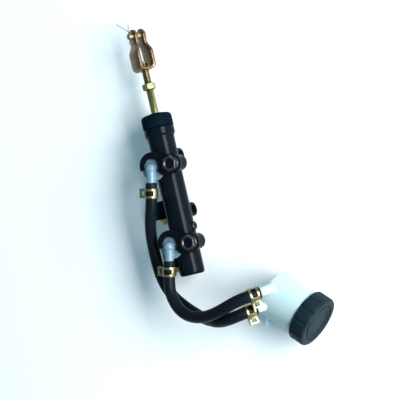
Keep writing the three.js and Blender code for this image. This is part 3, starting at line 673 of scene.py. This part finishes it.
casting()


def boot():
    """The dust boot: a turned rubber cup with a lip round the push rod."""
    bm = lathe([
        (12.2, -21.3), (14.9, -21.3), (15.35, -21.5), (15.5, -22.0), (15.5, -30.9), (15.3, -32.0),
        (14.8, -33.0), (14.0, -33.8), (12.8, -34.4), (11.0, -34.8), (8.8, -35.1), (7.0, -35.3),
        (6.4, -35.8), (5.6, -35.9), (5.25, -35.5), (5.25, -34.2), (7.6, -33.8), (10.2, -33.2),
        (11.9, -32.2), (12.2, -31)], 112, True, place=AXIS)
    piece = emit("rubber_boot", bm, smooth_angle=60)
    return finished(piece, "boot_rubber", "black_rubber", "dust_boot")


boot()


def hexagon(flats):
    return arc((0, 0), flats / math.sqrt(3), 0, 300, 5)


def hex_head(flats, height, chamfer_at_bottom=True):
    """A hexagonal head along +Y with turned chamfers, standing on y = 0."""
    corner = flats / math.sqrt(3)
    half = flats / 2 - 0.15
    drop = (corner - half) * 0.55
    bm = bmesh.new()
    segments = 72
    levels = [0.0, drop * 0.5, drop, height - drop, height - drop * 0.5, height]
    rows = []
    for level in levels:
        edge = min(level if chamfer_at_bottom else height, height - level)
        limit = half + (corner - half) * min(1.0, edge / drop)
        row = []
        for angle in turn_angles(segments):
            within = (angle % (math.pi / 3)) - math.pi / 6
            radius = min(flats / 2 / math.cos(within), limit)
            row.append(bm.verts.new((radius * math.cos(angle), level, radius * math.sin(angle))))
        rows.append(row)
    skin(bm, rows, segments)
    return bm


BOLT_FLATS = 13.6
BOLT_HEIGHT = 4.6
BOLT_LIFT = 1.5  # from the flange's seat to the underside of the hexagon


def plate_bolt(number, station):
    """A flanged bolt with a dished head, a near-black disc of painted shade on the dish's floor, and the
    flange as its own piece.
    """
    seat = PLATE_TOP + 0.3
    up = Matrix.Translation((BOLT_X, -station, seat)) @ Matrix.Rotation(math.pi / 2, 4, "X")
    turn = Matrix.Rotation(math.radians(4 + 9 * number), 4, "Y")
    lift = Matrix.Translation((0, BOLT_LIFT, 0))
    hexagonal = hex_head(BOLT_FLATS, BOLT_HEIGHT, False)
    head = emit(f"hex_bolt_{number}", hexagonal, up @ lift @ turn, smooth_angle=25)
    dish = lathe([(0, 3.3), (4.6, 3.3), (5.5, 4.9), (0, 4.9)], 48)
    carve(head, [(dish, up @ lift)], 25)
    bevel(head, 0.15, 2, 40)
    finished(head, "bolt_zinc", "black_zinc")
    # A thin near-black disc on the floor of the dish: painted shade that darkens the dish, not a part of the
    # bolt.
    shade_disc = lathe([(0, 3.32), (4.55, 3.32), (4.3, 3.5), (0, 3.42)], 48)
    dish_shade = emit(f"bolt_recess_{number}", shade_disc, up @ lift)
    finished(dish_shade, "black_paint", "black_zinc")
    skirt = lathe([
        (0, -14), (3.6, -14), (3.95, -13.5), (3.95, 0), (7.8, 0), (8.1, 0.3), (7.9, 0.9), (6.9, 1.7),
        (0, 1.7)], 72)
    flange = emit(f"bolt_flange_{number}", skirt, up)
    finished(flange, "black_zinc", "black_zinc", f"plate_bolt_{number}")


def rounded(outline, radius):
    """An outline with its corners turned into small arcs."""
    steps = 5
    points = []
    count = len(outline)
    for i in range(count):
        before, corner, after = (Vector(outline[(i + k) % count]) for k in (-1, 0, 1))
        first = before - corner
        second = after - corner
        cut = min(radius, first.length * 0.45, second.length * 0.45)
        start = corner + first.normalized() * cut
        end = corner + second.normalized() * cut
        for k in range(steps + 1):
            t = k / steps
            points.append(tuple(start * (1 - t) ** 2 + corner * (2 * t * (1 - t)) + end * t ** 2))
    return points


def retaining_plate(number, inlet, bolt):
    """A flat hook that reaches from the bolt's eye round the elbow's foot."""
    ex, ey = BOLT_X - INLET_X, inlet - bolt
    outline = [
        (-13.2, -0.4), (-12.9, 5.2), (-11.2, 9.8), (-8, 13.4), (-3.6, 15.6), (1.6, 16.3), (6.8, 15.2),
        (11.4, 13.4), (16, 11.8), (ex - 2.6, ey + 9.7), (ex + 3, ey + 9.5), (ex + 7.6, ey + 6.6),
        (ex + 10, ey + 1.6), (ex + 9.6, ey - 3.4), (ex + 6.8, ey - 7.6), (ex + 2, ey - 9.8), (16.4, -9.4),
        (11.6, -10.6), (5.6, -3.9), (8.1, -0.7), (7.3, 7.1), (0.7, 9.7), (-3.6, 9.5), (-9.2, 4.2),
        (-8.6, 1.4)]
    bm = prism(rounded(outline, 2.2), PLATE_LOW, PLATE_TOP)
    piece = emit(f"hook_plate_{number}", bm, Matrix.Translation((INLET_X, -inlet, 0)))
    bevel(piece, 0.45, 3, 50)
    return finished(piece, "plate_paint", "black_paint", f"retaining_plate_{number}")


NIPPLE_Z = 42.0
NIPPLE_YAW = math.radians(14)
NIPPLE_REACH = 14.2


def elbow(number, station):
    """An inlet elbow: a round foot under the plate, a domed neck and a nipple for the hose."""
    base = Vector((INLET_X, -station, 0))
    level = Vector((INLET_X, -station, NIPPLE_Z))
    out = Vector((-math.sin(NIPPLE_YAW), -math.cos(NIPPLE_YAW), 0))
    stand = Matrix.Translation(base) @ Matrix.Rotation(math.pi / 2, 4, "X")
    bm = lathe([
        (0, 34), (2.9, 34), (2.9, 35.8), (12.2, 35.8), (12.5, 36.1), (12.5, 37.9), (12.2, 38.3), (6.0, 38.3),
        (5.2, 38.8), (4.9, 40), (4.8, 43), (4.4, 44.9), (3.4, 46.2), (1.8, 46.9), (0, 47)], 64, place=stand)
    rod(level, level + out * (NIPPLE_REACH - 0.3), 4.45, 4.35, bm=bm)
    rod(level + out * 10, level + out * (NIPPLE_REACH + 9), 3.5, 3.1, bm=bm)
    piece = emit(f"elbow_inlet_{number}", bm)
    fuse(piece, 0.3, 4, 60)
    return finished(piece, "white_nylon", "white_plastic", f"inlet_elbow_{number}")


for i in range(2):
    elbow(i + 1, INLETS[i])
    retaining_plate(i + 1, INLETS[i], BOLTS[i])
    plate_bolt(i + 1, BOLTS[i])


def stop_screw():
    out = toward((STOP_FACE_X + 0.1, -STOP_STATION, AXIS_Z), (20, -STOP_STATION, AXIS_Z))
    bm = lathe([
        (0, -7.6), (2.2, -7.6), (2.2, 0.2), (3.9, 0.2), (4.2, 0.4), (4.1, 1.0), (3.7, 1.4), (0, 1.4)], 48)
    piece = emit("socket_stop_screw", bm, out)
    socket = prism(hexagon(3.0), -0.8, 3)
    carve(piece, [(socket, out @ Matrix.Rotation(-math.pi / 2, 4, "X"))])
    return finished(piece, "black_zinc", "black_zinc", "stop_screw")


stop_screw()


def transit_plug(number, station):
    x, z = OUTLET_AXIS
    out = toward((x, -station, z), (x, -station - 10, z))
    bm = lathe([
        (0, -7), (3.7, -7), (4.1, -6.5), (4.1, 0.3), (6.0, 0.3), (6.3, 0.6), (6.2, 1.5), (5.9, 1.8),
        (4.7, 1.9), (4.5, 2.3), (4.3, 5.0), (4.0, 5.4), (3.4, 5.4), (3.1, 5.0), (3.0, 2.4), (0, 2.2)], 64)
    piece = emit(f"yellow_transit_plug_{number}", bm, out)
    return finished(piece, "yellow_plug", "yellow_plastic", f"outlet_plug_{number}")


for i in range(2):
    transit_plug(i + 1, OUTLETS[i])

# ---- Push rod, nut and clevis ----------------------------------------------------------------

ROD_R = 3.8
BALL_STATION = -12.0
THREAD_START = -63.0
ROD_END = -88.0
PITCH = 1.25
THREAD_DEPTH = 0.62
NUT_STATION = -66.4
NUT_FLATS = 12.0
NUT_HEIGHT = 6.0
NUT_TURN = 12.0  # degrees


def smooth_rod():
    """The shank, from its ball end in the piston to the start of the thread."""
    ball = arc((0, BALL_STATION), ROD_R, 0, 80, 8)
    bm = lathe([(0, THREAD_START), (ROD_R - 0.35, THREAD_START), (ROD_R, THREAD_START + 0.6)] + ball
               + [(0, BALL_STATION + ROD_R)], 64, place=AXIS)
    piece = emit("rod_shank", bm, body="push_rod")
    return finished(piece, "rod_zinc", "yellow_zinc")


def threaded_rod():
    """The M8 thread as one skin whose radius follows the helix."""
    segments, per_pitch = 48, 8
    steps = int((THREAD_START - ROD_END) / PITCH * per_pitch)
    bm = bmesh.new()
    rows = []
    for i in range(steps + 1):
        station = THREAD_START - 0.1 - (THREAD_START - ROD_END - 0.1) * i / steps
        taper = min(1.0, (steps - i) / (1.2 * per_pitch) + 0.25)
        row = []
        for k, angle in enumerate(turn_angles(segments)):
            phase = (station / PITCH + k / segments) % 1.0
            depth = THREAD_DEPTH * (1 - abs(2 * phase - 1)) + (1 - taper) * 0.8
            radius = ROD_R + 0.12 - depth
            row.append(bm.verts.new((radius * math.cos(angle), station, radius * math.sin(angle))))
        rows.append(row)
    skin(bm, rows, segments)
    piece = emit("rod_thread", bm, AXIS, "push_rod", 60)
    return finished(piece, "thread_zinc", "yellow_zinc", "push_rod")


def rod_end():
    """The turned point at the end of the thread."""
    bm = lathe([
        (0, ROD_END - 1.2), (2.2, ROD_END - 1.2), (3.0, ROD_END - 0.5), (3.1, ROD_END + 0.4),
        (0, ROD_END + 0.4)], 48, place=AXIS)
    piece = emit("rod_point", bm, body="push_rod")
    return finished(piece, "pale_zinc", "yellow_zinc")


smooth_rod()
threaded_rod()
rod_end()


def lock_nut():
    turn = Matrix.Rotation(math.radians(NUT_TURN), 4, "Y")
    place = AXIS @ Matrix.Translation((0, NUT_STATION, 0)) @ turn
    piece = emit("hex_lock_nut", hex_head(NUT_FLATS, NUT_HEIGHT), place, "lock_nut", 25)
    hole = lathe([(0, -1), (4.6, -1), (4.05, 0.6), (4.05, 5.4), (4.6, 7), (0, 7)], 48)
    carve(piece, [(hole, place)], 25)
    bevel(piece, 0.1, 2, 40)
    return finished(piece, "pale_zinc", "yellow_zinc", "lock_nut")


lock_nut()

CLEVIS_TURN = math.radians(58.8)
CLEVIS = Matrix.Translation((0, 80, AXIS_Z)) @ Matrix.Rotation(CLEVIS_TURN, 4, "Y")
CLEVIS_LENGTH = 43.0
STRAP = 2.6  # thickness
STRAP_HALF = 9.7  # half of the strap's width where it is widest
EAR_R = 7.0
PIN_V = 36.3
PIN_HOLE_R = 3.4


def strap_half_width(v):
    """Half of the strap's width: narrower at the bend, eased down to the ears, round at their tips."""
    tip = CLEVIS_LENGTH - EAR_R
    if v < 5:
        return STRAP_HALF - 1.3 * (1 - v / 5)
    if v > tip:
        return math.sqrt(max(0.04, EAR_R ** 2 - (v - tip) ** 2))
    t = min(1.0, max(0.0, (v - 18.5) / 8.5))
    return STRAP_HALF - (STRAP_HALF - EAR_R) * t * t * (3 - 2 * t)


def clevis():
    """A strap bent into a fork: flat sections along its middle line, from one ear's tip to the other's."""
    tip = CLEVIS_LENGTH - EAR_R
    half = [(4.5, tip + EAR_R * math.sin(math.radians(a))) for a in range(88, -1, -8)]
    half += [(4.5, v) for v in (34, 31, 28.5)]
    half += [(4.7, 27.0), (5.3, 25.2), (6.4, 22.4), (7.1, 20.6)]
    half += [(7.4, v) for v in (19.0, 15, 10, 6.5)]
    half += [(3.9 + 3.5 * math.cos(math.radians(a)), 5.0 - 3.5 * math.sin(math.radians(a)))
             for a in range(10, 90, 16)]
    half += [(3.9, 1.5), (1.5, 1.5)]
    middle = half + [(-x, v) for x, v in half[::-1]]
    bm = bmesh.new()
    rows = []
    for i, (x, v) in enumerate(middle):
        before = Vector(middle[max(i - 1, 0)])
        after = Vector(middle[min(i + 1, len(middle) - 1)])
        along = (after - before).normalized()
        normal = Vector((-along.y, along.x)) * (STRAP / 2)
        width = strap_half_width(v)
        corners = []
        for side, w in ((1, -width), (1, width), (-1, width), (-1, -width)):
            corners.append(bm.verts.new((x + side * normal.x, v + side * normal.y, w)))
        rows.append(corners)
    skin(bm, rows, 4)
    piece = emit("clevis_fork", bm, CLEVIS, "clevis", 40)
    bevel(piece, 0.55, 3, 50)
    carve(piece, [
        (rod((-12, PIN_V, 0), (12, PIN_V, 0), PIN_HOLE_R), CLEVIS),
        (rod((0, -3, 0), (0, 6, 0), 4.15), CLEVIS)], 40)
    return finished(piece, "bronze_zinc", "bronze_zinc", "clevis")


clevis()

COTTER_X = -8.3
WIRE_R = 0.36


def clevis_pin():
    across = CLEVIS @ Matrix.Translation((0, PIN_V, 0)) @ Matrix.Rotation(-math.pi / 2, 4, "Z")
    bm = lathe([
        (0, -10.4), (2.3, -10.4), (2.85, -10.1), (3.1, -9.6), (3.1, 6.3), (4.9, 6.3), (5.2, 6.6),
        (5.1, 7.6), (4.6, 8.1), (0, 8.2)], 64)
    piece = emit("headed_pin", bm, across, "clevis_pin")
    carve(piece, [(rod((COTTER_X, PIN_V - 6, 0), (COTTER_X, PIN_V + 6, 0), 1.35), CLEVIS)])
    return finished(piece, "pale_zinc", "yellow_zinc", "clevis_pin")


clevis_pin()


def cotter_pin():
    """Two wires through the pin, splayed above it and joined by a ring below it."""
    low, high = PIN_V - 4, PIN_V + 4
    points = [(-20.5, 50.2, 0.6), (-15, 46, 0.6), (-10.2, high + 1.9, 0.6), (COTTER_X, high, 0.55),
              (COTTER_X, PIN_V, 0.55), (COTTER_X, low, 0.6)]
    for i in range(7):
        angle = math.radians(-50 + i / 6 * 280)
        x, v = COTTER_X + 1.8 * math.cos(angle), low - 2.6 - 1.8 * math.sin(angle)
        points.append((x, v, 0.6 - 0.2 * i))
    points += [(COTTER_X, low, -0.6), (COTTER_X, PIN_V, -0.55), (COTTER_X, high, -0.55),
               (-7.9, high + 3.5, -0.6), (-6.7, 49, -0.6)]
    line = spline(points, 0.5)
    last = len(line) - 1
    rings = [(0, 0, 0), (0, 0, WIRE_R * 0.7), (0, 0.12, WIRE_R)]
    rings += [(i, 0, WIRE_R) for i in range(1, last)]
    rings += [(last, -0.12, WIRE_R), (last, 0, WIRE_R * 0.7), (last, 0, 0)]
    piece = emit("split_pin", sweep(line, rings, 14), CLEVIS, "clevis_pin", 60)
    return finished(piece, "wire_steel", "steel", "cotter_pin")


cotter_pin()

# ---- Reservoir -------------------------------------------------------------------------------

RESERVOIR = (Matrix.Translation((81.53, -162.27, 23.18)) @ Matrix.Rotation(math.radians(-42.37), 4, "Z")
             @ Matrix.Rotation(math.radians(-3.43), 4, "Y"))
ALONG_X = Matrix.Rotation(-math.pi / 2, 4, "Z")
RESERVOIR_R = 23.2
NECK_R = 20.8
NECK_END = 49.1
EAR_ANGLE = 107.9
EAR_X = 3.4
EAR_THICK = 4.0
EAR_HOLE_AT = 29.2
EAR_HOLE_R = 3.25
SPIGOT_X = 4.6
SPIGOT_ANGLE = 3.4
SPIGOT_DIRECTION = Vector((-0.4643, -0.6145, 0.6378)).normalized()
SPIGOTS = ((-10.1, 8.2), (10.1, 3.25))  # sideways place and bare length of each spigot


def wall_point(x, degrees, radius, sideways=0.0):
    """A point of the reservoir's wall: angles run from +z towards -y."""
    angle = math.radians(degrees)
    return Vector((x, -math.sin(angle) * radius - math.cos(angle) * sideways,
                   math.cos(angle) * radius - math.sin(angle) * sideways))


def reservoir():
    """The pot with its neck, a flat ear and two spigots, hollowed after they are fused."""
    bm = lathe([
        (0, 0.5), (17, 0.5), (17.6, 0), (RESERVOIR_R - 1.6, 0), (RESERVOIR_R - 0.45, 0.45),
        (RESERVOIR_R, 1.6), (RESERVOIR_R, 37.2), (22.7, 38.4), (NECK_R, 38.9), (NECK_R, NECK_END),
        (0, NECK_END)], 128, place=ALONG_X)
    radial = math.radians(EAR_ANGLE)
    outward = Vector((0, -math.sin(radial), math.cos(radial)))
    thick = Vector((1, 0, 0))
    frame_of_ear = Matrix((outward.cross(thick), outward, thick)).transposed().to_4x4()
    frame_of_ear = Matrix.Translation((EAR_X, 0, 0)) @ frame_of_ear
    outline = [(-9.4, 21.4), (9.4, 21.4), (8.1, 25.6)] + arc((0, EAR_HOLE_AT), 8, 0, 180, 32)
    outline.append((-8.1, 25.6))
    prism(outline, 0, EAR_THICK, bm, frame_of_ear)
    for sideways, bare in SPIGOTS:
        crest = wall_point(SPIGOT_X, SPIGOT_ANGLE, RESERVOIR_R, sideways)
        rod(crest - SPIGOT_DIRECTION * 6, crest + SPIGOT_DIRECTION * (bare - 0.3), 4.9, 4.35, bm=bm)
        rod(crest, crest + SPIGOT_DIRECTION * (bare + 9), 3.5, 3.1, bm=bm)
    piece = emit("reservoir_pot", bm, RESERVOIR)
    fuse(piece, 0.45, 4, 60)
    ear_hole = rod((0, EAR_HOLE_AT, -2), (0, EAR_HOLE_AT, EAR_THICK + 2), EAR_HOLE_R)
    inside = lathe([
        (0, 2.2), (20.0, 2.2), (21.0, 3.2), (21.0, 35.6), (18.4, 37.6), (18.4, 51), (0, 51)], 96,
        place=ALONG_X)
    carve(piece, [(ear_hole, RESERVOIR @ frame_of_ear), (inside, RESERVOIR)], 45)
    return finished(piece, "reservoir_plastic", "clear_plastic", "reservoir_body")


reservoir()

CAP_R = 25.55
CAP_FACE = 55.3
CAP_NOTCHES = 12
CAP_NOTCH_DEPTH = 0.9
CAP_NOTCH_WIDTH = 0.30  # share of the way from one notch to the next
CAP_GRIP = range(11, 16)  # the points of the side profile that the notches dent


def cap():
    """The screw cap: a turned shell whose side is scalloped."""
    side = [
        (0, CAP_FACE - 0.9), (14.4, CAP_FACE - 0.9), (15.0, CAP_FACE - 0.3), (15.6, CAP_FACE - 0.1),
        (16.4, CAP_FACE - 0.2), (17.0, CAP_FACE - 1.1), (18.8, CAP_FACE - 1.1), (19.5, CAP_FACE - 0.2),
        (20.2, CAP_FACE), (23.6, CAP_FACE), (24.6, CAP_FACE - 0.35), (25.25, CAP_FACE - 1.1),
        (CAP_R, CAP_FACE - 2.2), (CAP_R, 47), (CAP_R, 40.6), (25.2, 39.9), (24.6, 39.65), (21.4, 39.65),
        (21.4, 52.4), (0, 52.4)]
    segments = 180
    bm = bmesh.new()
    rows = []
    for index, (radius, x) in enumerate(side):
        if radius == 0:
            rows.append([bm.verts.new((x, 0, 0))])
            continue
        depth = CAP_NOTCH_DEPTH if index in CAP_GRIP else 0.0
        row = []
        for angle in turn_angles(segments):
            near = abs(((angle * CAP_NOTCHES / (2 * math.pi)) % 1.0) - 0.5) * 2
            dent = max(0.0, 1 - (1 - near) / CAP_NOTCH_WIDTH)
            dent = dent * dent * (3 - 2 * dent)
            real = radius - depth * dent
            row.append(bm.verts.new((x, real * math.cos(angle), real * math.sin(angle))))
        rows.append(row)
    skin(bm, rows, segments)
    piece = emit("screw_cap", bm, RESERVOIR, "reservoir_cap", 32)
    return finished(piece, "cap_plastic", "black_plastic", "reservoir_cap")


cap()

# ---- CAD nodes that stay ---------------------------------------------------------------------

KEPT = {
    "stop_washer": "bright_steel", "circlip": "bright_steel", "primary_piston": "turned_aluminium",
    "secondary_piston": "turned_aluminium", "rear_cup": "boot_rubber", "primary_cup": "boot_rubber",
    "pressure_cup": "boot_rubber", "secondary_cup": "boot_rubber", "primary_spring_seat": "bright_steel",
    "secondary_spring_seat": "bright_steel", "primary_spring": "bright_steel",
    "secondary_spring": "bright_steel", "inlet_grommet_1": "boot_rubber", "inlet_grommet_2": "boot_rubber",
    "diaphragm": "boot_rubber", "slip_ring": "white_nylon",
}
for node, finish in KEPT.items():
    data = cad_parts[node].data
    data.materials.clear()
    data.materials.append(FINISHES[finish])

# ---- Floor and light -------------------------------------------------------------------------


FLOOR_HALF = 4.0  # metres
FLOOR_Z = -0.0002


def floor():
    bm = bmesh.new()
    outline = ((-1, -1), (1, -1), (1, 1), (-1, 1))
    bm.faces.new([bm.verts.new((x * FLOOR_HALF, y * FLOOR_HALF, FLOOR_Z)) for x, y in outline])
    mesh = bpy.data.meshes.new("floor")
    bm.to_mesh(mesh)
    bm.free()
    piece = bpy.data.objects.new("floor", mesh)
    bpy.context.scene.collection.objects.link(piece)
    finish = Finish("floor_paper", Roughness=0.9)
    finish.colours(finish.noise(3, 2), [(0.3, (0.86, 0.88, 0.885)), (0.7, (0.875, 0.89, 0.895))])
    mesh.materials.append(finish.material)


floor()


def area_light(name, away, size, power, colour):
    """A rectangular light that faces the object from a place given in layout millimetres."""
    data = bpy.data.lights.new(name, "AREA")
    data.shape = "RECTANGLE"
    data.size, data.size_y = size
    data.energy = power
    data.color = colour
    light = bpy.data.objects.new(name, data)
    bpy.context.scene.collection.objects.link(light)
    here = TO_ROW @ Vector(away)
    aim = (TO_ROW @ CAMERA_TARGET) - here
    light.matrix_world = Matrix.Translation(here) @ aim.to_track_quat("-Z", "Y").to_matrix().to_4x4()


def studio():
    world = bpy.data.worlds.new("studio")
    bpy.context.scene.world = world
    world.use_nodes = True
    background = world.node_tree.nodes["Background"]
    background.inputs["Color"].default_value = (0.50, 0.84, 1.0, 1.0)
    background.inputs["Strength"].default_value = 0.45
    area_light("softbox", (1970, -260, 1240), (1.9, 0.85), 116, (0.94, 0.97, 0.98))
    area_light("window_strip", (2000, -520, 600), (2.6, 0.20), 26, (0.93, 0.97, 1.0))
    bpy.context.scene.view_settings.view_transform = "Standard"
    bpy.context.scene.view_settings.look = "None"


studio()
